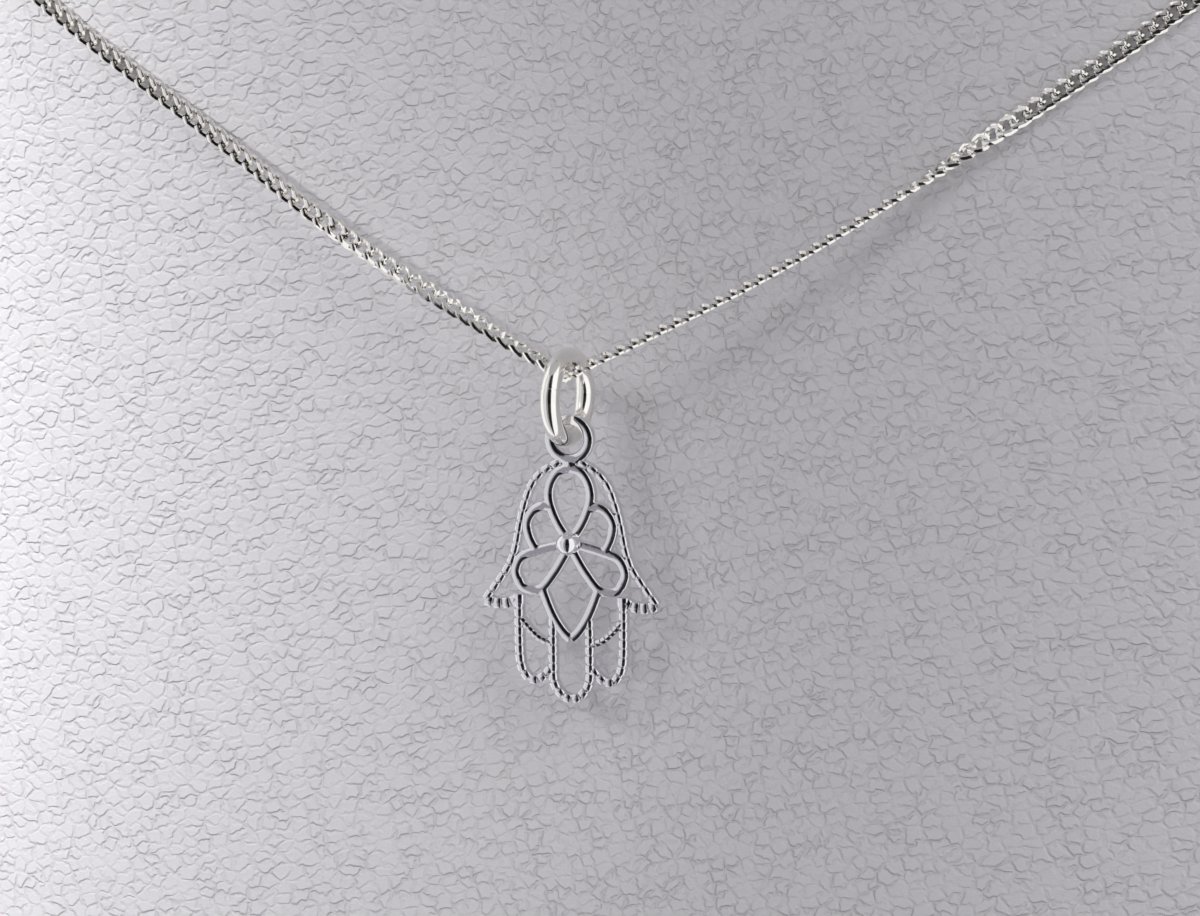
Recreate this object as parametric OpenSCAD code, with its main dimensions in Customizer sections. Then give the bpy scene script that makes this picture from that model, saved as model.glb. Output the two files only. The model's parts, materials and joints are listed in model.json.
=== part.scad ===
// Silver hamsa charm on a jump ring and a curb chain, worn by a plain neck bust.
// The bust stands on z = 0, its front faces -Y and its plane of symmetry is X = 0.

/* [Neck bust] */
// Height from the base to the top of the neck
bust_h = 164; // [150:1:190]
// Width of the neck
neck_w = 96; // [88:1:102]
// Depth of the neck, front to back
neck_d = 88; // [80:1:94]
// Share of the neck's width and depth that is left at its top
neck_taper = 0.87; // [0.8:0.01:1]
// Width across the shoulders
chest_w = 156; // [146:1:176]
// Depth of the chest in front of the neck's axis
chest_front = 60; // [57:1:66]
// Depth of the back behind the neck's axis
chest_back = 54; // [50:1:60]
// Depth of the hollow below the throat
hollow_d = 10.5; // [8:0.5:12]
// Height of the hollow's deepest point, as a share of the bust's height
hollow_at = 0.38; // [0.3:0.01:0.45]
// Half angle that the hollow spreads round the neck's axis
hollow_angle = 24; // [18:1:30]
// Distance that the hollow spreads up and down
hollow_spread = 50; // [44:1:56]
// Rounding of the top edge of the neck
top_round = 7; // [3:0.5:12]
// Rounding of the edge that the bust stands on
base_round = 2.5; // [1:0.5:5]

/* [Chain] */
// Width of the curb chain across its flat side
chain_w = 1.1; // [0.8:0.1:1.6]
// Outer diameter of the clasp's ring
clasp_ring_d = 5.9; // [5:0.1:6.4]
// Wire of the clasp's ring
clasp_wire = 1.2; // [0.9:0.1:1.5]
// Outer diameter of the small eye beside the clasp's ring
clasp_eye_d = 2.3; // [2:0.1:2.8]
// Wire of that eye
clasp_eye_wire = 0.6; // [0.5:0.1:0.7]
// Air between the clasp and the bust
clasp_gap = 0.2; // [0.1:0.05:0.5]

/* [Jump ring] */
// Outer diameter of the jump ring
ring_d = 5; // [4:0.1:7]
// Wire of the jump ring
ring_wire = 1; // [0.7:0.05:1.15]
// Turn of the ring's plane away from the bust's plane of symmetry, in degrees
ring_turn = -3; // [-15:1:15]
// Play where metal hangs on metal
seat_gap = 0.15; // [0.05:0.01:0.25]

/* [Hamsa] */
// Width of the hand from thumb to thumb, over the metal
hamsa_w = 9.5; // [7:0.1:14]
// Height of the hand below its loop, over the metal
hamsa_h = 12.5; // [10:0.1:18]
// Thickness of the flower's wires, front to back
hamsa_t = 0.7; // [0.6:0.05:1.2]
// Thickness of the beaded wires
bead_t = 0.66; // [0.56:0.02:1.1]
// Width of the flower's plain wires
wire_w = 0.4; // [0.3:0.05:0.6]
// Width of the beaded wires that draw the hand
bead_w = 0.4; // [0.36:0.02:0.7]
// Distance between the grooves along the hand's edge
bead_pitch = 0.58; // [0.45:0.01:0.9]
// Distance between the grooves along the fingers and under the thumbs
finger_pitch = 0.48; // [0.4:0.01:0.8]
// Width of a groove between two beads
groove_w = 0.12; // [0.06:0.01:0.2]
// Depth of a groove below the beads
groove_d = 0.08; // [0.05:0.01:0.12]
// Outer diameter of the loop
loop_d = 2.5; // [2.3:0.1:3.4]
// Bore of the loop
loop_bore = 1.5; // [1.4:0.05:2]
// Thickness of the loop
loop_t = 0.7; // [0.5:0.05:1.1]
// Diameter of the ball in the middle of the flower
ball_d = 1.2; // [0.8:0.1:1.6]
// Distance of the ball's middle in front of the wires
ball_out = 0.3; // [0:0.05:0.35]
// Turn of the charm about the vertical, in degrees
hamsa_turn = 7; // [-15:1:15]
// Tilt of the charm in its own plane, in degrees
hamsa_roll = 0.5; // [-5:0.5:5]
// Distance that the loop has slid along the ring's wire
loop_aside = 0.15; // [-0.2:0.05:0.2]

/* [Hidden] */
leather_colour = "whitesmoke";
silver_colour = "silver";

// Cross sections of the chest: share of the height, then shares of the half width, front depth and back depth
chest_rows = [
    [0.00, 0.90, 0.94, 0.92],
    [0.20, 0.96, 0.97, 0.97],
    [0.36, 1.00, 0.99, 1.00],
    [0.47, 1.00, 1.00, 1.00],
    [0.57, 0.94, 0.97, 0.94],
    [0.66, 0.76, 0.86, 0.80],
    [0.76, 0.48, 0.60, 0.52],
    [0.86, 0.18, 0.24, 0.22],
    [1.00, 0.02, 0.02, 0.02]
];
// The neck narrows from this share of the bust's height upwards
taper_from = 0.72;
// How sharply the neck runs into the shoulders
join_power = 5;
bust_sides = 64;
bust_levels = 26;
edge_steps = 3;

// Route of the chain from the pendant to the nape: angle round the neck's axis, share of the bust's height, and
// distance of the chain's middle from the leather
chain_route = [
    [  0.0, 0.312, 4.60],
    [  1.2, 0.316, 4.58],
    [  3.8, 0.324, 4.42],
    [ 11.1, 0.349, 3.14],
    [ 18.0, 0.376, 1.62],
    [ 25.6, 0.410, 0.80],
    [ 32.5, 0.446, 0.74],
    [ 40.5, 0.491, 0.72],
    [ 48.1, 0.538, 0.74],
    [ 55.9, 0.584, 0.80],
    [ 64.3, 0.623, 0.90],
    [ 73.4, 0.656, 0.98],
    [ 83.4, 0.681, 0.98],
    [ 94.3, 0.701, 0.92],
    [106.1, 0.713, 0.94],
    [118.7, 0.720, 0.90],
    [132.0, 0.723, 0.88],
    [145.9, 0.723, 0.86],
    [160.3, 0.723, 0.84],
    [180.0, 0.723, 0.84]
];
chain_sides = 8;

// A curve through the rows of a table, read at x in the first column, for column c
function curve(rows, x, c) =
    let (last = len(rows) - 1)
    let (i = min(last - 1, max([for (k = [0:last]) if (rows[k][0] <= x || k == 0) k])))
    let (a = max(i - 1, 0), b = min(i + 2, last))
    let (step = rows[i + 1][0] - rows[i][0])
    let (rise_0 = (rows[i + 1][c] - rows[a][c]) / (rows[i + 1][0] - rows[a][0]) * step)
    let (rise_1 = (rows[b][c] - rows[i][c]) / (rows[b][0] - rows[i][0]) * step)
    let (u = (x - rows[i][0]) / step)
    (2 * u ^ 3 - 3 * u ^ 2 + 1) * rows[i][c] + (u ^ 3 - 2 * u ^ 2 + u) * rise_0
        + (3 * u ^ 2 - 2 * u ^ 3) * rows[i + 1][c] + (u ^ 3 - u ^ 2) * rise_1;

// Radius of an ellipse with these half axes, at angle a from the front
function oval(a, half_w, half_d) = 1 / sqrt((sin(a) / half_w) ^ 2 + (cos(a) / half_d) ^ 2);

// Radius of the bust's leather round the neck's axis, at angle a from the front and height z
function leather_r(a, z) =
    let (t = z / bust_h)
    let (depth = cos(a) > 0 ? chest_front * curve(chest_rows, t, 2) : chest_back * curve(chest_rows, t, 3))
    let (chest = oval(a, chest_w / 2 * curve(chest_rows, t, 1), depth))
    let (rise = max(0, t - taper_from) / (1 - taper_from))
    let (neck = oval(a, neck_w / 2, neck_d / 2) * (1 - (1 - neck_taper) * rise ^ 1.5))
    let (turn = a > 180 ? a - 360 : a)
    let (hollow = hollow_d * exp(-(turn / hollow_angle) ^ 2 - ((z - hollow_at * bust_h) / hollow_spread) ^ 2))
    (neck ^ join_power + chest ^ join_power) ^ (1 / join_power) - hollow;

// A point outside the leather by off
function on_bust(a, z, off) =
    let (r = leather_r(a, z) + off)
    [r * sin(a), -r * cos(a), z];

// Triangles that join rings of points, with a flat face over each end
function skin(rings, sides) = concat(
    [[for (j = [0:sides - 1]) j]],
    [[for (j = [0:sides - 1]) rings * sides - 1 - j]],
    [for (i = [0:rings - 2], j = [0:sides - 1]) [i * sides + j, (i + 1) * sides + j, (i + 1) * sides + (j + 1) % sides]],
    [for (i = [0:rings - 2], j = [0:sides - 1]) [i * sides + j, (i + 1) * sides + (j + 1) % sides, i * sides + (j + 1) % sides]]
);

// Heights of the bust's rings and how far each is drawn in by the rounded edges
base_levels = [for (k = [0:edge_steps]) let (a = 90 * k / edge_steps)
    [base_round * (1 - cos(a)), base_round * (1 - sin(a))]];
side_levels = [for (k = [1:bust_levels]) [base_round + (bust_h - top_round - base_round) * k / bust_levels, 0]];
top_levels = [for (k = [1:edge_steps]) let (a = 90 * k / edge_steps)
    [bust_h - top_round * (1 - sin(a)), top_round * (1 - cos(a))]];
levels = concat(base_levels, side_levels, top_levels);

module neck_bust() {
    points = [for (level = levels, j = [0:bust_sides - 1]) on_bust(360 * j / bust_sides, level[0], -level[1])];
    color(leather_colour)
        polyhedron(points, skin(len(levels), bust_sides));
}

// The clasp lies on the nape, and the chain's ends reach up to it
clasp_overlap = 0.3;
clasp_len = clasp_ring_d + clasp_eye_d - clasp_overlap;
nape_z = bust_h * chain_route[len(chain_route) - 1][1];
nape_r = leather_r(180, nape_z);
nape_lean = atan((leather_r(180, nape_z - clasp_ring_d / 2) - leather_r(180, nape_z + clasp_ring_d / 2)) / clasp_ring_d);
chain_end_angle = 180 - asin((clasp_len / 2 + clasp_gap) / nape_r);

// Angles of the chain's rings on one side: each step of the route in two, the two short ones at the pendant in one
half_angles = concat(
    [for (i = [0:len(chain_route) - 3], k = [0:i < 2 ? 0 : 1])
        chain_route[i][0] + k / 2 * (chain_route[i + 1][0] - chain_route[i][0])],
    [chain_route[len(chain_route) - 2][0], (chain_route[len(chain_route) - 2][0] + chain_end_angle) / 2, chain_end_angle]
);
function chain_point(a) =
    let (z = bust_h * curve(chain_route, abs(a), 1))
    on_bust(a, z, curve(chain_route, abs(a), 2));
chain_angles = concat(
    [for (i = [len(half_angles) - 1:-1:1]) -half_angles[i]],
    half_angles
);
chain_points = [for (a = chain_angles) chain_point(a)];
function unit(v) = v / norm(v);

module chain() {
    last = len(chain_points) - 1;
    points = [for (i = [0:last])
        let (along = unit(chain_points[min(i + 1, last)] - chain_points[max(i - 1, 0)]))
        let (level = unit(cross(along, [0, 0, 1])))
        let (down = cross(along, level))
        for (j = [0:chain_sides - 1])
            let (a = 360 * (j + 0.5) / chain_sides)
            chain_points[i] + chain_w / 2 * (cos(a) * level + sin(a) * down)];
    color(silver_colour)
        polyhedron(points, skin(len(chain_points), chain_sides));
}

module wire_ring(outer_d, wire) {
    rotate_extrude($fn = 64)
        translate([(outer_d - wire) / 2, 0])
            circle(d = wire, $fn = 32);
}

module clasp() {
    color(silver_colour)
        translate([0, nape_r + (clasp_wire / 2 + clasp_gap) / cos(nape_lean), nape_z])
            rotate([90 + nape_lean, 0, 0]) {
                translate([(clasp_ring_d - clasp_len) / 2, 0, 0])
                    wire_ring(clasp_ring_d, clasp_wire);
                translate([(clasp_len - clasp_eye_d) / 2, 0, 0])
                    wire_ring(clasp_eye_d, clasp_eye_wire);
            }
}

// The ring hangs in the V of the chain, and the charm's loop hangs on the ring's lowest point
vee = chain_point(0);
vee_side = chain_point(chain_route[2][0]) - vee;
vee_slope = atan(vee_side.z / vee_side.x);
ring_seat = (ring_wire / 2 + chain_w / 2 + seat_gap) / cos(vee_slope);
ring_r = (ring_d - ring_wire) / 2;
ring_at = vee + [0, 0, ring_seat - ring_r];
charm_at = ring_at + [loop_aside, 0, -(ring_r + loop_bore / 2 - ring_wire / 2 - seat_gap)];

module jump_ring() {
    color(silver_colour)
        translate(ring_at)
            rotate([0, 90, ring_turn])
                wire_ring(ring_d, ring_wire);
}

// Centre lines of the right half of the hand: share of the half width, share of the height below the top
hand_edge = [[0.10, 0.000], [0.28, 0.038], [0.39, 0.077], [0.455, 0.116], [0.505, 0.165], [0.545, 0.215], [0.58, 0.270],
    [0.61, 0.330], [0.64, 0.380], [0.70, 0.440], [0.79, 0.492], [0.90, 0.549], [0.99, 0.592]];
thumb_under = [[0.99, 0.592], [0.91, 0.602], [0.80, 0.606], [0.70, 0.600], [0.60, 0.582]];
outer_finger = [[0.60, 0.585], [0.60, 0.70], [0.597, 0.80], [0.585, 0.850], [0.555, 0.888], [0.50, 0.914], [0.425, 0.924],
    [0.345, 0.913], [0.275, 0.890], [0.235, 0.870]];
middle_wall = [[0.205, 0.660], [0.212, 0.74], [0.212, 0.85], [0.210, 0.915], [0.180, 0.950], [0.125, 0.978], [0.06, 0.994],
    [0.00, 1.00]];
web = [[0.58, 0.668], [0.47, 0.715], [0.36, 0.750], [0.22, 0.770]];

// Centre lines of the right half of the flower, in the same shares
top_petal = [[0.00, 0.340], [0.13, 0.267], [0.205, 0.205], [0.24, 0.148], [0.215, 0.092], [0.13, 0.045], [0.00, 0.028]];
side_petal = [[0.21, 0.197], [0.31, 0.190], [0.42, 0.212], [0.492, 0.262], [0.468, 0.320], [0.40, 0.372]];
low_petal_top = [[0.00, 0.342], [0.18, 0.358], [0.40, 0.381], [0.56, 0.407], [0.630, 0.465], [0.585, 0.522]];
low_petal_foot = [[0.60, 0.500], [0.55, 0.534], [0.45, 0.545], [0.325, 0.535], [0.185, 0.470], [0.085, 0.410], [0.00, 0.350]];
leaf_point = [[0.325, 0.535], [0.25, 0.610], [0.18, 0.665], [0.09, 0.715], [0.00, 0.748]];

curve_steps = 3;
half_span = (hamsa_w - bead_w) / 2;
hand_span = hamsa_h - bead_w;
// How far the hand's top runs up into the loop
loop_sink = 0.15;
hand_top = loop_sink - loop_d / 2;

// A smooth line through points, in millimetres below and beside the loop's centre
function smooth(shares) =
    let (last = len(shares) - 1)
    [for (i = [0:last - 1], k = [0:curve_steps - (i == last - 1 ? 0 : 1)])
        let (u = k / curve_steps, p = shares[i], q = shares[i + 1])
        let (rise_p = (q - shares[max(i - 1, 0)]) / (i == 0 ? 1 : 2))
        let (rise_q = (shares[min(i + 2, last)] - p) / (i == last - 1 ? 1 : 2))
        let (s = (2 * u ^ 3 - 3 * u ^ 2 + 1) * p + (u ^ 3 - 2 * u ^ 2 + u) * rise_p
            + (3 * u ^ 2 - 2 * u ^ 3) * q + (u ^ 3 - u ^ 2) * rise_q)
        [s.x * half_span, hand_top - s.y * hand_span]];

function heading(line, i) = unit(line[min(i + 1, len(line) - 1)] - line[max(i - 1, 0)]);

// A flat strip of even width along a line
module strip(line, width) {
    side = [for (i = [0:len(line) - 1]) let (d = heading(line, i)) [-d.y, d.x] * width / 2];
    polygon(concat(
        [for (i = [0:len(line) - 1]) line[i] + side[i]],
        [for (i = [len(line) - 1:-1:0]) line[i] - side[i]]
    ));
}

// Short flat pieces along a line, with a groove after each
module bead_row(line, pitch) {
    run = [for (i = 0, s = 0; i < len(line); s = s + (i < len(line) - 1 ? norm(line[i + 1] - line[i]) : 0), i = i + 1) s];
    whole = run[len(run) - 1];
    count = round(whole / pitch);
    for (k = [0:count - 1]) {
        s = (k + 0.5) * whole / count;
        i = max([for (m = [0:len(run) - 2]) if (run[m] <= s) m]);
        d = unit(line[i + 1] - line[i]);
        translate(line[i] + d * (s - run[i]))
            rotate(atan2(d.y, d.x))
                square([whole / count - groove_w, bead_w], center = true);
    }
}

module both_sides() {
    children();
    mirror([1, 0])
        children();
}

module plate(thick) {
    rotate([90, 0, 0])
        linear_extrude(thick, center = true)
            children();
}

module hamsa() {
    beaded = [hand_edge, thumb_under, outer_finger, middle_wall, web];
    pitches = [bead_pitch, finger_pitch, finger_pitch, finger_pitch, finger_pitch];
    plain = [top_petal, side_petal, low_petal_top, low_petal_foot, leaf_point];
    color(silver_colour)
        translate(charm_at)
            rotate([0, -hamsa_roll, hamsa_turn])
                difference() {
                    union() {
                        plate(bead_t - 2 * groove_d)
                            both_sides()
                                for (shares = beaded)
                                    strip(smooth(shares), bead_w - 2 * groove_d);
                        plate(bead_t)
                            both_sides()
                                for (i = [0:len(beaded) - 1])
                                    bead_row(smooth(beaded[i]), pitches[i]);
                        plate(hamsa_t)
                            both_sides()
                                for (shares = plain)
                                    strip(smooth(shares), wire_w);
                        rotate([90, 0, 0])
                            cylinder(d = loop_d, h = loop_t, center = true, $fn = 64);
                        translate([0, -hamsa_t / 2 - ball_out, hand_top - top_petal[0].y * hand_span])
                            sphere(d = ball_d, $fn = 48);
                    }
                    rotate([90, 0, 0])
                        cylinder(d = loop_bore, h = 2 * hamsa_t, center = true, $fn = 64);
                }
}

neck_bust();
chain();
clasp();
jump_ring();
hamsa();
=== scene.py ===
# Silver hamsa charm on a jump ring and a fine curb chain, worn by a white leatherette neck bust.
# Jewellery is modelled in millimetres and set into the metre frame when it is finished.
import json
import math
import bpy
from mathutils import Matrix, Vector

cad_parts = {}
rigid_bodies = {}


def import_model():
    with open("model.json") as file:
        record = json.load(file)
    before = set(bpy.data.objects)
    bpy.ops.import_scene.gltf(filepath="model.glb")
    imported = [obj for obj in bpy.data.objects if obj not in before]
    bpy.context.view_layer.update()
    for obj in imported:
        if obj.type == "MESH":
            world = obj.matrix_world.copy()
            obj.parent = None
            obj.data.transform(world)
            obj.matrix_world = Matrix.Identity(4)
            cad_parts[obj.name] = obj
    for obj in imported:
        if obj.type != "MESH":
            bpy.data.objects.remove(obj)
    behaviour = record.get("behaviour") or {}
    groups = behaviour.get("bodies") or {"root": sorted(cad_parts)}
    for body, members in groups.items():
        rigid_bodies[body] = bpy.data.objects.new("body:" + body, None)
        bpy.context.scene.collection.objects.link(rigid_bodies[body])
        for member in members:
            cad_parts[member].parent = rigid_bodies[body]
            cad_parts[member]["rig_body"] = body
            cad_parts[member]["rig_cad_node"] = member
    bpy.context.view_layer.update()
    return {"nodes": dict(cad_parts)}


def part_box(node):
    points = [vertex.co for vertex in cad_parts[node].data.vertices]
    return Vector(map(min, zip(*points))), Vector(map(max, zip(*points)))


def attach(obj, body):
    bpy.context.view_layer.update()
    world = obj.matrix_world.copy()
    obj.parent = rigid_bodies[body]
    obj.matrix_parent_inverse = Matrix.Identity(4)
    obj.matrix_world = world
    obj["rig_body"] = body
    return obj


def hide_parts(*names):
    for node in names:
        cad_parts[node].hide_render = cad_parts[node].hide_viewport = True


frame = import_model()
mm = 0.001
ringLow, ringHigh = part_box("jump_ring")
ringCentre = (ringLow + ringHigh) / 2
print("frame loaded, ring at", [round(c / mm, 2) for c in ringCentre])


def pick(*objs):
    # leaves only these selected, the first one active
    if bpy.context.mode != "OBJECT":
        bpy.ops.object.mode_set(mode="OBJECT")
    bpy.ops.object.select_all(action="DESELECT")
    for obj in objs:
        obj.select_set(True)
    if objs:
        bpy.context.view_layer.objects.active = objs[0]


def editAll(obj):
    pick(obj)
    bpy.ops.object.mode_set(mode="EDIT")
    bpy.ops.mesh.select_all(action="SELECT")


def editPart(obj, wanted, kind="FACE"):
    # edit mode with only the wanted faces or vertices selected
    editAll(obj)
    bpy.ops.mesh.select_mode(type=kind)
    bpy.ops.mesh.select_all(action="DESELECT")
    bpy.ops.object.mode_set(mode="OBJECT")
    for part in obj.data.polygons if kind == "FACE" else obj.data.vertices:
        part.select = wanted(part)
    bpy.ops.object.mode_set(mode="EDIT")


def applyModifier(obj, kind, **settings):
    pick(obj)
    modifier = obj.modifiers.new(kind.title(), kind)
    for key, value in settings.items():
        setattr(modifier, key, value)
    bpy.ops.object.modifier_apply(modifier=modifier.name)


def joinAll(name, pieces):
    pick(*pieces)
    bpy.ops.object.join()
    joined = bpy.context.object
    joined.name = name
    joined.data.name = name
    return joined


def copyTo(source, place):
    # a copy with its own mesh, put at a place given as a matrix
    copy = source.copy()
    copy.data = source.data.copy()
    copy.data.transform(place)
    bpy.context.scene.collection.objects.link(copy)
    return copy


def settle(piece, place, body, node, material):
    # puts a finished piece into the frame, ties it to its body and hides the CAD node that it stands for
    piece.data.transform(place)
    piece.data.materials.clear()
    piece.data.materials.append(material)
    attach(piece, body)
    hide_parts(node)


def hermite(p, q, riseP, riseQ, u):
    return ((2 * u**3 - 3 * u**2 + 1) * p + (u**3 - 2 * u**2 + u) * riseP
            + (3 * u**2 - 2 * u**3) * q + (u**3 - u**2) * riseQ)


def curveThrough(rows, x, column):
    # the smooth curve through a table's rows that the part's source uses
    last = len(rows) - 1
    i = min(last - 1, max(k for k in range(last + 1) if rows[k][0] <= x or k == 0))
    a, b = max(i - 1, 0), min(i + 2, last)
    step = rows[i + 1][0] - rows[i][0]
    rise0 = (rows[i + 1][column] - rows[a][column]) / (rows[i + 1][0] - rows[a][0]) * step
    rise1 = (rows[b][column] - rows[i][column]) / (rows[b][0] - rows[i][0]) * step
    return hermite(rows[i][column], rows[i + 1][column], rise0, rise1, (x - rows[i][0]) / step)


def ease(x, low, high):
    u = max(0.0, min(1.0, (x - low) / (high - low)))
    return u * u * (3 - 2 * u)


# Materials

def linear(hexValue):
    # sRGB hex to the linear colour that the shaders take
    parts = [int(hexValue[i:i + 2], 16) / 255 for i in (1, 3, 5)]
    return [*(c / 12.92 if c <= 0.04045 else ((c + 0.055) / 1.055) ** 2.4 for c in parts), 1]


def addNode(tree, kind, values=None, links=None, **settings):
    node = tree.nodes.new("ShaderNode" + kind)
    for key, value in settings.items():
        setattr(node, key, value)
    for key, value in (values or {}).items():
        node.inputs[key].default_value = value
    for key, source in (links or {}).items():
        tree.links.new(source, node.inputs[key])
    return node


def startMaterial(name):
    material = bpy.data.materials.new(name)
    material.use_nodes = True
    tree = material.node_tree
    return material, tree, tree.nodes["Principled BSDF"]


# Ripple: height and length in mm of the faint waves that drawing, stamping or casting left
silver = {
    "chain": {"name": "drawnSterlingSilver", "color": "#F1EEEA", "rough": 0.09, "ripple": (0.004, 0.5)},
    "clasp": {"name": "stampedSterlingSilver", "color": "#F4F0E8", "rough": 0.12, "ripple": (0.004, 0.6)},
    "ring": {"name": "polishedSilverWire", "color": "#F7F4F0", "rough": 0.10, "ripple": (0.004, 0.9)},
    "charm": {"name": "castSterlingSilver", "color": "#EBEAEE", "rough": 0.08, "ripple": (0.006, 0.35)},
}
scuffs = {
    "size": 0.12,                   # mm across one cloudy patch of the polish
    "from": 0.35, "to": 0.7,        # part of the noise that is used
    "least": 0.7, "most": 1.6,      # how the metal's roughness varies, as shares of its own value
}


def makeSilver(which):
    # polished 925 silver: mirror bright, a little uneven where it was drawn or cast, warm on the wires and
    # a little greyer on the casting
    values = silver[which]
    rippleHeight, rippleLength = values["ripple"]
    material, tree, shader = startMaterial(values["name"])
    coords = addNode(tree, "TexCoord").outputs["Object"]
    shader.inputs["Base Color"].default_value = linear(values["color"])
    shader.inputs["Metallic"].default_value = 1.0
    waves = addNode(tree, "TexNoise", {"Scale": 1 / (rippleLength * mm), "Detail": 1.0}, {"Vector": coords})
    wear = addNode(tree, "TexNoise", {"Scale": 1 / (scuffs["size"] * mm), "Detail": 2.0}, {"Vector": coords})
    span = {"From Min": scuffs["from"], "From Max": scuffs["to"],
            "To Min": values["rough"] * scuffs["least"], "To Max": values["rough"] * scuffs["most"]}
    rough = addNode(tree, "MapRange", span, {"Value": wear.outputs["Fac"]})
    tree.links.new(rough.outputs["Result"], shader.inputs["Roughness"])
    bump = addNode(tree, "Bump", {"Distance": rippleHeight * mm}, {"Height": waves.outputs["Fac"]})
    tree.links.new(bump.outputs["Normal"], shader.inputs["Normal"])
    return material


leather = {
    # the crease colour is painted shade: the creases are coloured a little darker where shade would fall in
    # them
    "color": "#E5E3E6", "paintedCreaseShade": "#E0DDE0",
    "cell": 0.60,                    # mm across one pebble of the grain
    "random": 0.9,                   # how unlike each other the pebbles are
    "stretch": 1.4,                  # how much longer than high a pebble is
    "slant": 20,                     # degrees that the pebbles' long side rises to the right
    "wave": 0.45,                    # mm, length of the waves in the creases
    "wander": 0.10,                  # mm that the creases wander
    "edge": 0.24,                    # share of a pebble over which it slopes into the crease
    "fade": 1.1,                     # mm over which creases grow deep and fade
    "fadeFrom": 0.32, "fadeTo": 0.68,   # part of the noise that is used
    "faint": 0.35, "deep": 1.2,      # depth of the faintest and the deepest creases, as shares of the relief
    "pore": 0.14, "poreHeight": 0.3,    # mm, unevenness of the film on a pebble, and its share of the relief
    "relief": 0.066,                 # mm from crease to pebble top
    "rough": 0.48, "gloss": 0.35,    # satin film
}


def makeLeatherette():
    # embossed PU leatherette: soft satin film, flat pebbles parted by narrow creases, some of them faint; the
    # creases' colour is also painted a little darker, a painted shade
    material, tree, shader = startMaterial("whiteLeatherette")
    surface = addNode(tree, "UVMap", uv_map="leatherMap").outputs["UV"]
    flat = {"noise_dimensions": "2D"}
    wave = addNode(tree, "TexNoise", {"Scale": 1 / leather["wave"], "Detail": 1.0},
                   {"Vector": surface}, **flat)
    reach = 4 * leather["wander"]    # the noise strays about a quarter of its range
    moved = addNode(tree, "VectorMath", {1: (reach, reach, 0)}, {0: wave.outputs["Color"], 2: surface},
                    operation="MULTIPLY_ADD")
    lay = {"Rotation": (0, 0, math.radians(leather["slant"])), "Scale": (leather["stretch"], 1, 1)}
    turned = addNode(tree, "Mapping", lay, {"Vector": moved.outputs[0]}, vector_type="TEXTURE").outputs[0]
    cells = addNode(tree, "TexVoronoi", {"Scale": 1 / leather["cell"], "Randomness": leather["random"]},
                    {"Vector": turned}, feature="DISTANCE_TO_EDGE", voronoi_dimensions="2D")
    crease = addNode(tree, "MapRange", {"From Max": leather["edge"], "To Min": 1.0, "To Max": 0.0},
                     {"Value": cells.outputs["Distance"]}, interpolation_type="SMOOTHERSTEP")
    fade = addNode(tree, "TexNoise", {"Scale": 1 / leather["fade"], "Detail": 1.0},
                   {"Vector": turned}, **flat)
    span = {"From Min": leather["fadeFrom"], "From Max": leather["fadeTo"],
            "To Min": leather["faint"], "To Max": leather["deep"]}
    depth = addNode(tree, "MapRange", span, {"Value": fade.outputs["Fac"]})
    cut = addNode(tree, "Math", {}, {0: crease.outputs[0], 1: depth.outputs[0]}, operation="MULTIPLY")
    pore = addNode(tree, "TexNoise", {"Scale": 1 / leather["pore"], "Detail": 1.5},
                   {"Vector": surface}, **flat)
    height = addNode(tree, "Math", {1: leather["poreHeight"]}, {0: pore.outputs["Fac"]}, operation="MULTIPLY")
    height = addNode(tree, "Math", {}, {0: height.outputs[0], 1: cut.outputs[0]}, operation="SUBTRACT")
    bump = addNode(tree, "Bump", {"Distance": leather["relief"] * mm}, {"Height": height.outputs[0]})
    tree.links.new(bump.outputs["Normal"], shader.inputs["Normal"])
    # painted shade: the crease mask mixes the colour a little darker in the creases
    tint = addNode(tree, "Mix", {"A": linear(leather["color"]), "B": linear(leather["paintedCreaseShade"])},
                   {"Factor": cut.outputs[0]}, data_type="RGBA")
    tree.links.new(tint.outputs["Result"], shader.inputs["Base Color"])
    shader.inputs["Roughness"].default_value = leather["rough"]
    shader.inputs["Specular IOR Level"].default_value = leather["gloss"]
    return material


tableTop = {
    "color": "#E4E4E8", "mottleColor": "#EAEAED",
    "mottle": 0.03,                  # metres across one cloud of the rolled coat
    "rough": 0.9, "gloss": 0.0,      # dead flat, so that the cards leave no edges on it
    "radius": 6,                     # metres
}


def makeFloorPaint():
    # matt pale paint on a studio table, with the faint mottle of a rolled coat
    material, tree, shader = startMaterial("mattWhitePaint")
    coords = addNode(tree, "TexCoord").outputs["Object"]
    mottle = addNode(tree, "TexNoise", {"Scale": 1 / tableTop["mottle"], "Detail": 2.0}, {"Vector": coords})
    tint = addNode(tree, "Mix", {"A": linear(tableTop["color"]), "B": linear(tableTop["mottleColor"])},
                   {"Factor": mottle.outputs["Fac"]}, data_type="RGBA")
    tree.links.new(tint.outputs["Result"], shader.inputs["Base Color"])
    shader.inputs["Roughness"].default_value = tableTop["rough"]
    shader.inputs["Specular IOR Level"].default_value = tableTop["gloss"]
    return material


# Stage: camera, lights and floor

photo = {
    "width": 1200, "height": 916,          # pixels of the photograph
    "ringAt": (567.5, 397),                # pixel where the jump ring's middle is
    "pixelsPerMm": 20.0,
    "azimuth": 23.0, "elevation": 8.0,     # degrees, the camera's place round the object
    "distance": 250.0,                     # mm from the ring
    "sensor": 36.0,                        # mm
}


def outward(azimuth, elevation):
    # the direction from the object at this azimuth and elevation; azimuth 0 is the front
    turn, rise = math.radians(azimuth), math.radians(elevation)
    return Vector((math.sin(turn) * math.cos(rise), -math.cos(turn) * math.cos(rise), math.sin(rise)))


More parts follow.
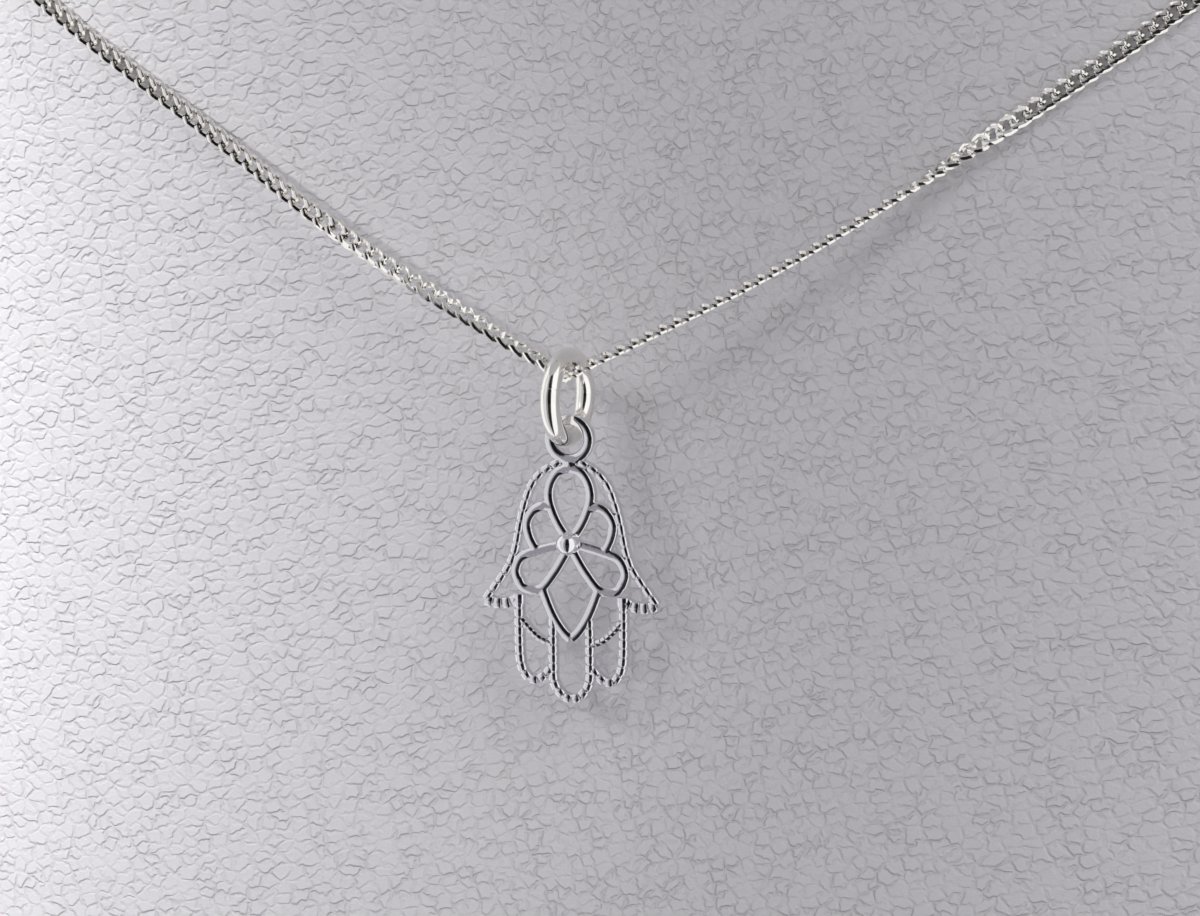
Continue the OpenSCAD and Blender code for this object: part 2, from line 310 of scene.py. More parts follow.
def setCamera():
    back = outward(photo["azimuth"], photo["elevation"])
    right = outward(photo["azimuth"] + 90, 0)
    up = back.cross(right)
    aside = (photo["width"] / 2 - photo["ringAt"][0]) / photo["pixelsPerMm"] * mm
    above = (photo["ringAt"][1] - photo["height"] / 2) / photo["pixelsPerMm"] * mm
    data = bpy.data.cameras.new("camera")
    data.sensor_width = photo["sensor"]
    data.lens = photo["sensor"] * photo["distance"] * photo["pixelsPerMm"] / photo["width"]
    data.clip_start = 0.01    # metres, well before the object
    camera = bpy.data.objects.new("camera", data)
    bpy.context.scene.collection.objects.link(camera)
    camera.location = ringCentre + back * photo["distance"] * mm + right * aside + up * above
    camera.rotation_euler = back.to_track_quat("Z", "Y").to_euler()
    bpy.context.scene.camera = camera


# Soft boxes: azimuth and elevation round the pendant in degrees, distance and size in metres, power in watts
softBoxes = {
    "keyBox": {"azimuth": -22, "elevation": 28, "distance": 0.9, "size": (0.3, 0.3), "power": 0.85},
    "sideBox": {"azimuth": 60, "elevation": 38, "distance": 1.6, "size": (1.5, 1.5), "power": 11.0},
}
leftSpot = {
    "azimuth": -42, "elevation": 30, "distance": 0.8,
    "aim": (-90, 0, 20),            # mm beside, behind and above the pendant
    "beam": 8.6, "edge": 0.3,        # degrees across and share of it that fades
    "radius": 0.022, "power": 28.0,  # metres and watts
}
room = {"color": "#C9C9CC", "strength": 0.36}
# Cards round the pendant that only its mirror-like silver sees. Each stands from one azimuth to the next, at
# this distance in metres, and goes on over the table to below the pendant. The roof lies on top of them.
cards = {
    "whiteCard": {"from": -125, "to": -56, "out": 0.32, "color": "#FFFFFF", "glow": 1.0},
    "paleCard": {"from": -56, "to": -18, "out": 0.315, "color": "#F2F1F4", "glow": 0.80},
    "greyCard": {"from": -18, "to": -1, "out": 0.31, "color": "#E4E2EA", "glow": 0.38},
    "blackCard": {"from": -1, "to": 39, "out": 0.30, "color": "#08080A", "glow": 0.0},
    "sideCard": {"from": 39, "to": 118, "out": 0.32, "color": "#FFFFFF", "glow": 1.0},
    "roofCard": {"from": -125, "to": 118, "out": 0.33, "color": "#E9E9ED", "glow": 0.5},
}
cardHeight = 0.45       # metres
cardGap = 0.0005        # metres between the cards and the table
cardPaint = "#08080A"   # what the lights see of a card, next to nothing


def addLamp(name, kind, values):
    light = bpy.data.lights.new(name, kind)
    light.energy = values["power"]
    lamp = bpy.data.objects.new(name, light)
    lamp.location = ringCentre + outward(values["azimuth"], values["elevation"]) * values["distance"]
    aim = ringCentre + Vector(values.get("aim", (0, 0, 0))) * mm
    lamp.rotation_euler = (lamp.location - aim).to_track_quat("Z", "Y").to_euler()
    lamp.visible_camera = False
    bpy.context.scene.collection.objects.link(lamp)
    return light


def setLights():
    for name, box in softBoxes.items():
        light = addLamp(name, "AREA", box)
        light.shape = "RECTANGLE"
        light.size, light.size_y = box["size"]
    spot = addLamp("leftSpot", "SPOT", leftSpot)
    spot.spot_size = math.radians(leftSpot["beam"])
    spot.spot_blend = leftSpot["edge"]
    spot.shadow_soft_size = leftSpot["radius"]


def setWorld():
    # an even pale room
    world = bpy.data.worlds.new("studio")
    bpy.context.scene.world = world
    world.use_nodes = True
    background = world.node_tree.nodes["Background"]
    background.inputs["Color"].default_value = linear(room["color"])
    background.inputs["Strength"].default_value = room["strength"]


def makeCardPaper(name, card):
    # matt card that glows evenly, as one does in front of a lamp
    material, tree, shader = startMaterial(name + "Paper")
    shader.inputs["Base Color"].default_value = linear(cardPaint)
    shader.inputs["Roughness"].default_value = 0.9
    shader.inputs["Emission Color"].default_value = linear(card["color"])
    shader.inputs["Emission Strength"].default_value = card["glow"]
    return material


def cutCard(name, card):
    # a disc on the table, cut to the card's sector, with its rim drawn up into a wall
    isRoof = name == "roofCard"
    centre = Vector((ringCentre.x, ringCentre.y, cardHeight if isRoof else cardGap))
    facing = outward((card["from"] + card["to"]) / 2, 0).xy
    half = math.radians(card["to"] - card["from"]) / 2 + 0.001    # keeps the points that lie on the edge

    def onRim(vertex):
        return (vertex.co - centre).xy.length > 10 * mm

    def outside(vertex):
        return onRim(vertex) and (vertex.co - centre).xy.angle(facing) > half

    pick()
    bpy.ops.mesh.primitive_circle_add(vertices=120, radius=card["out"], fill_type="TRIFAN", location=centre)
    sheet = bpy.context.object
    sheet.name = name
    pick(sheet)
    bpy.ops.object.transform_apply(location=True)
    editPart(sheet, outside, "VERT")
    bpy.ops.mesh.delete(type="VERT")
    bpy.ops.object.mode_set(mode="OBJECT")
    if not isRoof:
        editPart(sheet, onRim, "VERT")
        bpy.ops.mesh.extrude_region_move(TRANSFORM_OT_translate={"value": (0, 0, cardHeight)})
        bpy.ops.object.mode_set(mode="OBJECT")
    return sheet


def setCards():
    for name, card in cards.items():
        sheet = cutCard(name, card)
        sheet.data.materials.append(makeCardPaper(name, card))
        sheet.visible_camera = False
        sheet.visible_diffuse = False
        sheet.visible_shadow = False


def setFloor():
    pick()
    bpy.ops.mesh.primitive_circle_add(vertices=96, radius=tableTop["radius"], fill_type="NGON")
    floor = bpy.context.object
    floor.name = "floor"
    floor.data.materials.append(makeFloorPaint())


setCamera()
setLights()
setWorld()
setCards()
setFloor()
bpy.context.scene.view_settings.view_transform = "Standard"
print("stage set")


# Neck bust: the CAD form rounded off, with the leatherette drawn tight over it

cover = {
    "unroll": 54.0,     # mm, radius at which the unrolled grain is true to size
    "endShift": 400,    # mm in the map between the grain of the sides and that of the two ends
    "endSlope": 0.8,    # a face that looks up or down more than this belongs to an end
    "rounding": 2,      # subdivision levels
}


def mapLeather(bust):
    # the grain's own map in mm: the sides unrolled from a seam at the back, the two ends laid flat
    layer = bust.data.uv_layers.new(name="leatherMap")
    for face in bust.data.polygons:
        middle = face.center / mm
        flat = abs(face.normal.z) > cover["endSlope"]
        around = math.atan2(middle.x, -middle.y)
        for k in face.loop_indices:
            point = bust.data.vertices[bust.data.loops[k].vertex_index].co / mm
            turn = math.atan2(point.x, -point.y)
            if abs(turn - around) > math.pi:
                turn += math.copysign(2 * math.pi, around)
            onEnd = (point.x, point.y + cover["endShift"])
            layer.data[k].uv = onEnd if flat else (turn * cover["unroll"], point.z)


def makeBust():
    # a copy of the CAD form, its triangles joined to the quads that they came from
    bust = frame["nodes"]["neck_bust"].copy()
    bust.data = bust.data.copy()
    bust.name = "bustCover"
    bust.data.name = "bustCover"
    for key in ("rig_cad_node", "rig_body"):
        if key in bust:
            del bust[key]
    bust.parent = None
    bpy.context.scene.collection.objects.link(bust)
    editAll(bust)
    bpy.ops.mesh.remove_doubles(threshold=0.01 * mm)
    bpy.ops.mesh.tris_convert_to_quads(face_threshold=math.radians(60), shape_threshold=math.radians(60))
    bpy.ops.mesh.dissolve_limited(angle_limit=math.radians(0.01))
    bpy.ops.object.mode_set(mode="OBJECT")
    applyModifier(bust, "SUBSURF", levels=cover["rounding"], render_levels=cover["rounding"])
    mapLeather(bust)
    pick(bust)
    bpy.ops.object.shade_smooth()
    return bust


bust = makeBust()
settle(bust, Matrix.Identity(4), "bust", "neck_bust", makeLeatherette())
print("bust covered:", len(bust.data.polygons), "faces")


# Round wire: jump ring, clasp and the small rings beside it

def spinWire(name, outer, wire, sides, steps, span=360, begin=0):
    # a wire bent round the origin in the XY plane, closed or with two flat ends
    pick()
    ends = "NOTHING" if span == 360 else "NGON"
    bpy.ops.mesh.primitive_circle_add(vertices=sides, radius=wire / 2, location=((outer - wire) / 2, 0, 0),
                                      rotation=(math.pi / 2, 0, 0), fill_type=ends)
    piece = bpy.context.object
    pick(piece)
    bpy.ops.object.transform_apply(location=True, rotation=True)
    editAll(piece)
    # with no window spin turns clockwise, so the angle is negative
    bpy.ops.mesh.spin(steps=steps, angle=-math.radians(span), center=(0, 0, 0), axis=(0, 0, 1))
    bpy.ops.mesh.select_all(action="SELECT")
    bpy.ops.mesh.remove_doubles(threshold=0.0001)
    bpy.ops.mesh.normals_make_consistent(inside=False)
    bpy.ops.object.mode_set(mode="OBJECT")
    bpy.ops.object.shade_smooth()
    piece.data.transform(Matrix.Rotation(math.radians(begin), 4, "Z"))
    piece.name = name
    return piece


jumpRing = {
    "outer": 5.0, "wire": 1.0,      # mm
    "turn": -3.0,                   # degrees about the vertical
    "sides": 32, "steps": 120,
    "seamAt": 17.0,                 # degrees above the level on the near side, where the ends were soldered
    "seamWidth": 0.05, "seamDepth": 0.02,
    "seamReach": 0.8,               # mm round the seam's middle in which the wire is cut
}


def makeJumpRing():
    ring = spinWire("jumpRing", jumpRing["outer"], jumpRing["wire"], jumpRing["sides"], jumpRing["steps"])
    seam = math.radians(-90 - jumpRing["seamAt"])
    middle = Vector((math.cos(seam), math.sin(seam), 0)) * (jumpRing["outer"] - jumpRing["wire"]) / 2
    along = Vector((-math.sin(seam), math.cos(seam), 0))
    for k in (-1, 0, 1):
        editPart(ring, lambda face: (face.center - middle).length < jumpRing["seamReach"])
        bpy.ops.mesh.bisect(plane_co=middle + along * k * jumpRing["seamWidth"] / 2, plane_no=along)
        bpy.ops.object.mode_set(mode="OBJECT")
    for vertex in ring.data.vertices:
        place = vertex.co - middle
        if place.length < jumpRing["seamReach"] and abs(place.dot(along)) < 0.001:
            vertex.co -= place.normalized() * jumpRing["seamDepth"]
    return ring


ring = makeJumpRing()
ringPlace = (Matrix.Translation(ringCentre) @ Matrix.Rotation(math.radians(jumpRing["turn"]), 4, "Z")
             @ Matrix.Rotation(math.pi / 2, 4, "Y") @ Matrix.Scale(mm, 4))
settle(ring, ringPlace, "ring", "jump_ring", makeSilver("ring"))
print("jump ring:", len(ring.data.polygons), "faces")


clasp = {
    "ring": 5.9, "wire": 1.2, "ringAt": -1.0,      # mm, the bolt ring and its middle's place along the chain
    "openFrom": 100, "openTo": 150,                # degrees where the ring is open
    "bolt": 0.8, "boltInside": 4,                  # mm across the bolt, degrees that its ends reach in
    "eye": 2.3, "eyeWire": 0.6, "eyeAt": 2.8,
    "triggerAt": 72, "trigger": 0.5,               # degrees and mm of the peg that draws the bolt back
    "triggerOut": 0.55, "triggerSunk": 0.2,        # mm that it stands out of the ring and into it
    "worn": 0.12, "triggerWorn": 0.1,              # mm that the edges are rounded
    "lean": 17.0,                                  # degrees that the nape leans
    # small rings that tie the chain's ends on: outer, wire, place along the chain, degrees of tilt
    "links": [(2.3, 0.28, -3.45, 45), (1.8, 0.28, 3.97, 40)],
}


def makeTrigger():
    turn = math.radians(clasp["triggerAt"])
    reach = (clasp["ring"] + clasp["triggerOut"] - clasp["triggerSunk"]) / 2
    length = clasp["triggerOut"] + clasp["triggerSunk"]
    pick()
    bpy.ops.mesh.primitive_cylinder_add(vertices=20, radius=clasp["trigger"] / 2, depth=length,
                                        location=(reach * math.cos(turn), reach * math.sin(turn), 0),
                                        rotation=(0, math.pi / 2, turn))
    peg = bpy.context.object
    pick(peg)
    bpy.ops.object.transform_apply(location=True, rotation=True)
    editPart(peg, lambda face: len(face.vertices) > 4)
    bpy.ops.mesh.bevel(offset=clasp["triggerWorn"], segments=3, affect="EDGES")
    bpy.ops.object.mode_set(mode="OBJECT")
    return peg


def makeClasp():
    opening = clasp["openTo"] - clasp["openFrom"]
    body = spinWire("claspBody", clasp["ring"], clasp["wire"], 20, 72, 360 - opening, clasp["openTo"])
    editPart(body, lambda face: len(face.vertices) > 4)
    bpy.ops.mesh.bevel(offset=clasp["worn"], segments=3, affect="EDGES")
    bpy.ops.object.mode_set(mode="OBJECT")
    boltOuter = clasp["ring"] - clasp["wire"] + clasp["bolt"]
    boltFrom, boltSpan = clasp["openFrom"] - clasp["boltInside"], opening + 2 * clasp["boltInside"]
    bolt = spinWire("claspBolt", boltOuter, clasp["bolt"], 16, 16, boltSpan, boltFrom)
    pieces = [body, bolt, makeTrigger()]
    for piece in pieces:
        piece.data.transform(Matrix.Translation((clasp["ringAt"], 0, 0)))
    eye = spinWire("claspEye", clasp["eye"], clasp["eyeWire"], 14, 40)
    eye.data.transform(Matrix.Translation((clasp["eyeAt"], 0, 0)))
    pieces.append(eye)
    for outer, wire, place, tilt in clasp["links"]:
        small = spinWire("tieRing", outer, wire, 10, 36)
        small.data.transform(Matrix.Translation((place, 0, 0)) @ Matrix.Rotation(math.radians(tilt), 4, "X"))
        pieces.append(small)
    joined = joinAll("boltRingClasp", pieces)
    bpy.ops.object.shade_smooth_by_angle(angle=math.radians(40))
    return joined


boltRing = makeClasp()
claspLow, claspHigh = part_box("clasp")
claspPlace = (Matrix.Translation((claspLow + claspHigh) / 2)
              @ Matrix.Rotation(math.radians(90 + clasp["lean"]), 4, "X") @ Matrix.Scale(mm, 4))
settle(boltRing, claspPlace, "bust", "clasp", makeSilver("clasp"))
print("clasp:", len(boltRing.data.polygons), "faces")


# Hamsa charm, modelled face up in the XY plane with its loop's centre at the origin

hamsa = {
    "width": 9.5, "height": 12.5,              # mm over the metal, below the loop
    "turn": 7.0, "roll": 0.5,                  # degrees about the vertical, and in the charm's own plane
    "loopOuter": 2.5, "loopBore": 1.5, "loopDepth": 0.7, "loopSink": 0.15,
    "loopSwell": 1.08,                         # the loop's wire beside the CAD model's
    "wireWidth": 0.50, "wireDepth": 0.7,       # plain wires of the flower
    "bandWidth": 0.46, "bandDepth": 0.66,      # beaded wires of the hand, over their foot
    "lineWidth": 0.40,                         # of the same wires in the CAD model
    "beadGroove": 0.08, "beadInset": 0.06,     # between two beads, and how far their rims are worn
    "knuckle": (0.52, 1.25, 1.08),             # length, width and depth of the bead on an outer finger's root
    "ball": 1.2, "ballOut": 0.3,               # the ball, and how far its middle stands out of the flower
    "footShare": 0.96,                         # size of the ball that the casting has under it
    "solder": 0.33, "solderAt": (0.15, 0.02),  # blob under the loop: radius, how far down and forward it sits
    "hang": 2.1, "aside": 0.15,                # loop's centre below and beside the ring's
    "voxel": 0.041, "smoothing": 3,            # the casting's soft joins
}

# Centre lines of the right half: share of the half width, share of the height below the top
handLines = {
    "handEdge": [(0.10, 0.000), (0.28, 0.038), (0.39, 0.077), (0.455, 0.116), (0.505, 0.165), (0.545, 0.215),
                 (0.58, 0.270), (0.61, 0.330), (0.64, 0.380), (0.70, 0.440), (0.79, 0.492), (0.90, 0.549),
                 (0.99, 0.592)],
    "thumbUnder": [(0.99, 0.592), (0.91, 0.602), (0.80, 0.606), (0.70, 0.600), (0.60, 0.582)],
    "outerFinger": [(0.60, 0.585), (0.60, 0.70), (0.597, 0.80), (0.585, 0.850), (0.555, 0.888),
                    (0.50, 0.914), (0.425, 0.924), (0.345, 0.913), (0.275, 0.890), (0.235, 0.870)],
    "middleWall": [(0.205, 0.660), (0.212, 0.74), (0.212, 0.85), (0.210, 0.915), (0.180, 0.950),
                   (0.125, 0.978), (0.06, 0.994), (0.00, 1.00)],
    "web": [(0.58, 0.668), (0.47, 0.715), (0.36, 0.750), (0.22, 0.770)],
}
# Distance between the grooves of each line's beads in mm, and share of the full width
handBeads = {
    "handEdge": (0.58, 0.85), "thumbUnder": (0.48, 1.25), "outerFinger": (0.48, 1.0),
    "middleWall": (0.48, 1.0), "web": (0.30, 0.75),
}
flowerLines = {
    "topPetal": [(0.00, 0.340), (0.13, 0.267), (0.205, 0.205), (0.24, 0.148), (0.215, 0.092), (0.13, 0.045),
                 (0.00, 0.028)],
    "sidePetal": [(0.21, 0.197), (0.31, 0.190), (0.42, 0.212), (0.492, 0.262), (0.468, 0.320), (0.40, 0.372)],
    "lowPetalTop": [(0.00, 0.342), (0.18, 0.358), (0.40, 0.381), (0.56, 0.407), (0.630, 0.465),
                    (0.585, 0.522)],
    "lowPetalFoot": [(0.60, 0.500), (0.55, 0.534), (0.45, 0.545), (0.325, 0.535), (0.185, 0.470),
                     (0.085, 0.410), (0.00, 0.350)],
    "leafPoint": [(0.325, 0.535), (0.25, 0.610), (0.18, 0.665), (0.09, 0.715), (0.00, 0.748)],
}
# Cross sections, right half from front to back: shares of the half width and half depth
wireSection = [(0.0, 1.0), (0.15, 0.995), (0.55, 0.92), (0.92, 0.82), (1.0, 0.64), (1.03, 0.40),
               (1.03, -0.30), (0.95, -0.66), (0.76, -0.88), (0.40, -0.98), (0.0, -1.0)]
bandSection = [(0.0, 0.70), (0.55, 0.62), (0.73, 0.48), (0.76, 0.25), (0.80, 0.10), (1.0, -0.30),
               (1.0, -0.55), (0.92, -0.80), (0.70, -0.96), (0.0, -1.0)]
beadSection = [(0.0, 1.0), (0.05, 0.995), (0.50, 0.92), (0.90, 0.85), (0.98, 0.72), (1.02, 0.45),
               (1.02, 0.0), (0.85, -0.15), (0.0, -0.20)]
halfSpan = (hamsa["width"] - hamsa["lineWidth"]) / 2
handSpan = hamsa["height"] - hamsa["lineWidth"]
handTop = hamsa["loopSink"] - hamsa["loopOuter"] / 2
ballAt = (0, handTop - flowerLines["topPetal"][0][1] * handSpan, hamsa["wireDepth"] / 2 + hamsa["ballOut"])


def smoothLine(shares, side, steps=6):
    # the curve through a line's points that the part's source uses, in mm
    line = [Vector((side * x * halfSpan, handTop - y * handSpan, 0)) for x, y in shares]
    last = len(line) - 1
    points = []
    for i in range(last):
        riseP = (line[i + 1] - line[max(i - 1, 0)]) / (1 if i == 0 else 2)
        riseQ = (line[min(i + 2, last)] - line[i]) / (1 if i == last - 1 else 2)
        points += [hermite(line[i], line[i + 1], riseP, riseQ, k / steps) for k in range(steps)]
    return points + [line[last]]


def drawWire(points, section, width, depth, closed=False):
    # a curve with a shaped cross section, made a mesh
    outline = section + [(-x, z) for x, z in section[-2:0:-1]]
    shape = bpy.data.curves.new("section", "CURVE")
    shape.dimensions = "2D"
    rim = shape.splines.new("POLY")
    rim.points.add(len(outline) - 1)
    for point, (x, z) in zip(rim.points, outline):
        point.co = (x * width / 2, z * depth / 2, 0, 1)
    rim.use_cyclic_u = True
    shapeObject = bpy.data.objects.new("section", shape)
    bpy.context.scene.collection.objects.link(shapeObject)
    data = bpy.data.curves.new("wire", "CURVE")
    data.dimensions = "3D"
    data.twist_mode = "Z_UP"
    spline = data.splines.new("POLY")
    spline.points.add(len(points) - 1)
    for point, place in zip(spline.points, points):
        point.co = (*place, 1)
    spline.use_cyclic_u = closed
    data.bevel_mode = "OBJECT"
    data.bevel_object = shapeObject
    data.use_fill_caps = not closed
    wire = bpy.data.objects.new("wire", data)
    bpy.context.scene.collection.objects.link(wire)
    pick(wire)
    bpy.ops.object.convert(target="MESH")
    wire = bpy.context.object
    editAll(wire)
    bpy.ops.mesh.remove_doubles(threshold=0.0005)
    bpy.ops.mesh.normals_make_consistent(inside=False)
    bpy.ops.object.mode_set(mode="OBJECT")
    bpy.data.objects.remove(shapeObject)
    return wire


def makeBall(radius, place):
    pick()
    bpy.ops.mesh.primitive_uv_sphere_add(segments=40, ring_count=24, radius=radius, location=place)
    ball = bpy.context.object
    pick(ball)
    bpy.ops.object.transform_apply(location=True)
    return ball


def makeFlower():
    # plain wires, loop and ball's foot flow into each other as in one casting
    pieces = []
    for shares in flowerLines.values():
        for side in (-1, 1):
            line = smoothLine(shares, side)
            pieces.append(drawWire(line, wireSection, hamsa["wireWidth"], hamsa["wireDepth"]))
    radius = (hamsa["loopOuter"] + hamsa["loopBore"]) / 4
    turns = [2 * math.pi * k / 48 for k in range(48)]
    circle = [Vector((radius * math.cos(a), radius * math.sin(a), 0)) for a in turns]
    loopWidth = (hamsa["loopOuter"] - hamsa["loopBore"]) / 2 * hamsa["loopSwell"]
    pieces.append(drawWire(circle, wireSection, loopWidth, hamsa["loopDepth"], closed=True))
    pieces.append(makeBall(hamsa["ball"] / 2 * hamsa["footShare"], ballAt))
    down, forward = hamsa["solderAt"]
    pieces.append(makeBall(hamsa["solder"], (0, handTop - down, forward)))
    flower = joinAll("flower", pieces)
    applyModifier(flower, "REMESH", mode="VOXEL", voxel_size=hamsa["voxel"])
    applyModifier(flower, "SMOOTH", factor=0.5, iterations=hamsa["smoothing"])
    return flower


def makeBead():
    # one pillow of the beaded wire, 1 mm long along X, with its rims worn round
    outline = beadSection + [(-y, z) for y, z in beadSection[-2:0:-1]]
    pick()
    bpy.ops.mesh.primitive_circle_add(vertices=len(outline), radius=1, fill_type="NGON")
    bead = bpy.context.object
    for vertex, (y, z) in zip(bead.data.vertices, outline):
        vertex.co = (-0.5, y * hamsa["bandWidth"] / 2, z * hamsa["bandDepth"] / 2)
    editAll(bead)
    bpy.ops.mesh.extrude_region_move(TRANSFORM_OT_translate={"value": (1, 0, 0)})
    bpy.ops.mesh.select_all(action="SELECT")
    bpy.ops.mesh.normals_make_consistent(inside=False)
    bpy.ops.object.mode_set(mode="OBJECT")
    editPart(bead, lambda face: abs(face.normal.x) > 0.9)
    bpy.ops.mesh.bevel(offset=hamsa["beadInset"], segments=3, affect="EDGES", profile=0.5)
    bpy.ops.object.mode_set(mode="OBJECT")
    return bead


def beadPlaces(points, pitch, wide):
    # whole beads along a line, each turned and stretched to its share of the length
    run = [0.0]
    for a, b in zip(points, points[1:]):
        run.append(run[-1] + (b - a).length)
    count = round(run[-1] / pitch)
    size = Matrix.Diagonal((run[-1] / count - hamsa["beadGroove"], wide, 1, 1))
    places = []
    for k in range(count):
        s = (k + 0.5) * run[-1] / count
        i = max(m for m in range(len(run) - 1) if run[m] <= s)
        along = (points[i + 1] - points[i]).normalized()
        at = points[i] + along * (s - run[i])
        places.append(Matrix.Translation(at) @ Matrix.Rotation(math.atan2(along.y, along.x), 4, "Z") @ size)
    return places


def makeHand():
    # beaded wires: a low band with the beads on it
    bead = makeBead()
    pieces = []
    for name, shares in handLines.items():
        pitch, wide = handBeads[name]
        for side in (-1, 1):
            points = smoothLine(shares, side)
            pieces.append(drawWire(points, bandSection, hamsa["bandWidth"] * wide, hamsa["bandDepth"]))
            pieces += [copyTo(bead, place) for place in beadPlaces(points, pitch, wide)]
            if name == "outerFinger":
                knuckle = Matrix.Translation(points[0]) @ Matrix.Rotation(math.pi / 2, 4, "Z")
                pieces.append(copyTo(bead, knuckle @ Matrix.Diagonal((*hamsa["knuckle"], 1))))
    bpy.data.objects.remove(bead)
    return joinAll("hand", pieces)


def makeCharm():
    flower = makeFlower()
    hand = makeHand()
    ball = makeBall(hamsa["ball"] / 2, ballAt)
    charm = joinAll("hamsaCharm", [flower, hand, ball])
    pick(charm)
    bpy.ops.object.shade_smooth_by_angle(angle=math.radians(50))
    return charm


charm = makeCharm()
charmCentre = ringCentre + Vector((hamsa["aside"], 0, -hamsa["hang"])) * mm
charmPlace = (Matrix.Translation(charmCentre) @ Matrix.Rotation(math.radians(hamsa["turn"]), 4, "Z")
              @ Matrix.Rotation(math.pi / 2, 4, "X") @ Matrix.Rotation(math.radians(hamsa["roll"]), 4, "Z")
              @ Matrix.Scale(mm, 4))
settle(charm, charmPlace, "charm", "hamsa", makeSilver("charm"))
print("charm:", len(charm.data.polygons), "faces")


# Curb chain: every link is the same wire loop, twisted so that the next one lies flat in it

curb = {
    "halfLength": 0.57, "halfWidth": 0.38,      # mm, centre line of a link
    "twist": 0.165, "wire": 0.31, "pitch": 0.83,
    "points": 12,                               # round a link
    "ground": 0.07,                             # mm ground off the front and the back
    "lift": 0.34,                               # mm from the leather to the chain's middle
    "meetFrom": 14, "meetTo": 26,               # degrees where the chain comes down on the leather
    "peak": 0.42, "peakReach": 8,               # mm that the chain bows up over the ring, and how far along
    "endGap": 0.85,                             # mm from the clasp's ends to the last links' middles
    "rise": 0.36, "riseFrom": 168, "riseTo": 173.5,   # mm that the chain rises to its clasp, and degrees
    "claspLength": 7.9, "napeRadius": 46.2,     # mm
    "step": 0.25,                               # degrees between the points of the route
}
# Route: angle round the neck's axis, share of the bust's height, mm from the leather
chainRoute = [
    (0.0, 0.312, 4.60), (1.2, 0.316, 4.58), (3.8, 0.324, 4.42), (11.1, 0.349, 3.14), (18.0, 0.376, 1.62),
    (25.6, 0.410, 0.80), (32.5, 0.446, 0.74), (40.5, 0.491, 0.72), (48.1, 0.538, 0.74), (55.9, 0.584, 0.80),
    (64.3, 0.623, 0.90), (73.4, 0.656, 0.98), (83.4, 0.681, 0.98), (94.3, 0.701, 0.92), (106.1, 0.713, 0.94),
    (118.7, 0.720, 0.90), (132.0, 0.723, 0.88), (145.9, 0.723, 0.86), (160.3, 0.723, 0.84),
    (180.0, 0.723, 0.84),
]
# Turn of the links about the chain: angle round the neck's axis, degrees from lying flat
chainTurn = [(-180, 0), (-17, 0), (-11, 26), (-7, 50), (-3, 66), (0, 76), (3, 90), (17, 90), (24, 0),
             (180, 0)]


def makeLink():
    # a wire loop bent into a figure that leans up on two corners and down on the other two
    pick()
    bpy.ops.mesh.primitive_circle_add(vertices=curb["points"], radius=1)
    loop = bpy.context.object
    pick(loop)
    for vertex in loop.data.vertices:
        turn = math.atan2(vertex.co.y, vertex.co.x)
        vertex.co = (curb["halfLength"] * math.cos(turn), curb["halfWidth"] * math.sin(turn),
                     curb["twist"] * math.sin(2 * turn))
    bpy.ops.object.convert(target="CURVE")
    loop = bpy.context.object
    loop.data.bevel_depth = curb["wire"] / 2
    loop.data.bevel_resolution = 1
    bpy.ops.object.convert(target="MESH")
    link = bpy.context.object
    top = curb["twist"] + curb["wire"] / 2 - curb["ground"]
    editAll(link)
    bpy.ops.mesh.normals_make_consistent(inside=False)
    for side in (-1, 1):
        bpy.ops.mesh.select_all(action="SELECT")
        bpy.ops.mesh.bisect(plane_co=(0, 0, side * top), plane_no=(0, 0, side), use_fill=True,
                            clear_outer=True)
    bpy.ops.object.mode_set(mode="OBJECT")
    pick(link)
    bpy.ops.object.shade_smooth_by_angle(angle=math.radians(42))
    return link


def turnAt(angle):
    i = max(k for k in range(len(chainTurn) - 1) if chainTurn[k][0] <= angle)
    (a, first), (b, last) = chainTurn[i], chainTurn[i + 1]
    return math.radians(first + (last - first) * ease(angle, a, b))


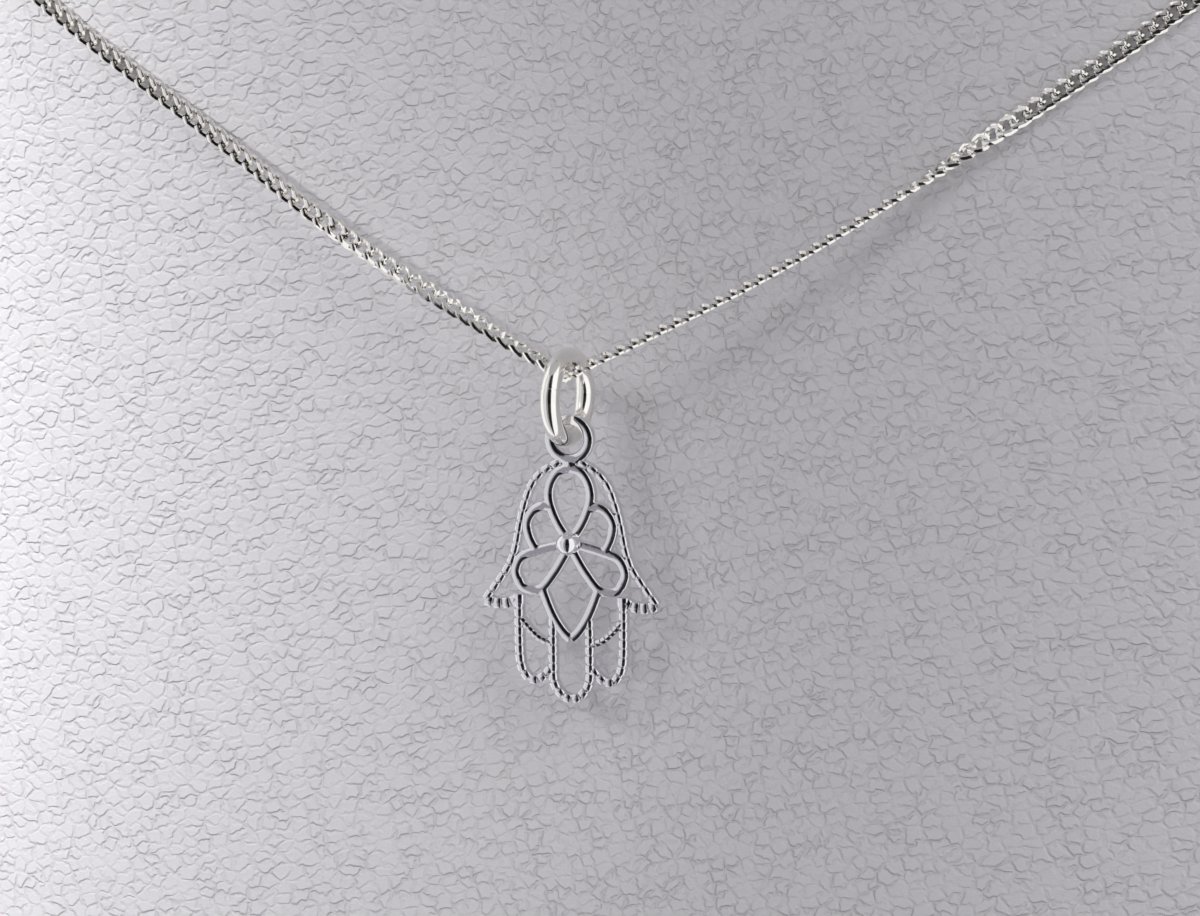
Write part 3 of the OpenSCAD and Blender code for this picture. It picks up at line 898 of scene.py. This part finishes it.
def chainPoint(angle):
    # a point of the chain's middle line in mm, and the leather's outward direction there
    turn = math.radians(angle)
    out = Vector((math.sin(turn), -math.cos(turn), 0))
    height = curveThrough(chainRoute, abs(angle), 1) * bustHeight
    _, place, normal, _ = bust.ray_cast(Vector((0, 0, height * mm)), out)
    free = curveThrough(chainRoute, abs(angle), 2)
    off = free + (curb["lift"] - free) * ease(abs(angle), curb["meetFrom"], curb["meetTo"])
    off += curb["rise"] * ease(abs(angle), curb["riseFrom"], curb["riseTo"])
    middle = place / mm + out * off
    middle.z += curb["peak"] * math.exp(-(middle.x / curb["peakReach"]) ** 2)
    return middle, out.lerp(normal, ease(abs(angle), curb["meetFrom"], curb["meetTo"])).normalized()


def linkPlaces(lastAngle):
    # whole links from one side of the clasp round the front to the other, and the length that they fill
    count = int(lastAngle / curb["step"])
    angles = [k * lastAngle / count for k in range(-count, count + 1)]
    path = [chainPoint(angle) for angle in angles]
    run = [0.0]
    for (a, _), (b, _) in zip(path, path[1:]):
        run.append(run[-1] + (b - a).length)
    links = round(run[-1] / curb["pitch"])
    places = []
    i = 0
    for k in range(links + 1):
        s = run[-1] * k / links
        while i < len(run) - 2 and run[i + 1] < s:
            i += 1
        u = (s - run[i]) / (run[i + 1] - run[i])
        middle = path[i][0].lerp(path[i + 1][0], u)
        along = (path[min(i + 2, len(path) - 1)][0] - path[max(i - 1, 0)][0]).normalized()
        face = path[i][1].lerp(path[i + 1][1], u)
        face = (face - along * face.dot(along)).normalized()
        turn = turnAt(angles[i] + u * (angles[i + 1] - angles[i]))
        flat = Matrix((along, face.cross(along), face)).transposed().to_4x4()
        places.append(Matrix.Translation(middle) @ flat @ Matrix.Rotation(-turn, 4, "X"))
    return places, run[-1]


bustHeight = frame["nodes"]["neck_bust"].dimensions.z / mm
bpy.context.view_layer.update()
link = makeLink()
print("link:", len(link.data.polygons), "faces")
halfClasp = curb["claspLength"] / 2 + curb["endGap"]
lastAngle = 180 - math.degrees(math.asin(halfClasp / curb["napeRadius"]))
places, chainLength = linkPlaces(lastAngle)
chain = joinAll("curbChain", [copyTo(link, place) for place in places])
bpy.data.objects.remove(link)
settle(chain, Matrix.Scale(mm, 4), "bust", "chain", makeSilver("chain"))
print("chain:", len(places), "links,", len(chain.data.polygons), "faces,", round(chainLength, 1), "mm")
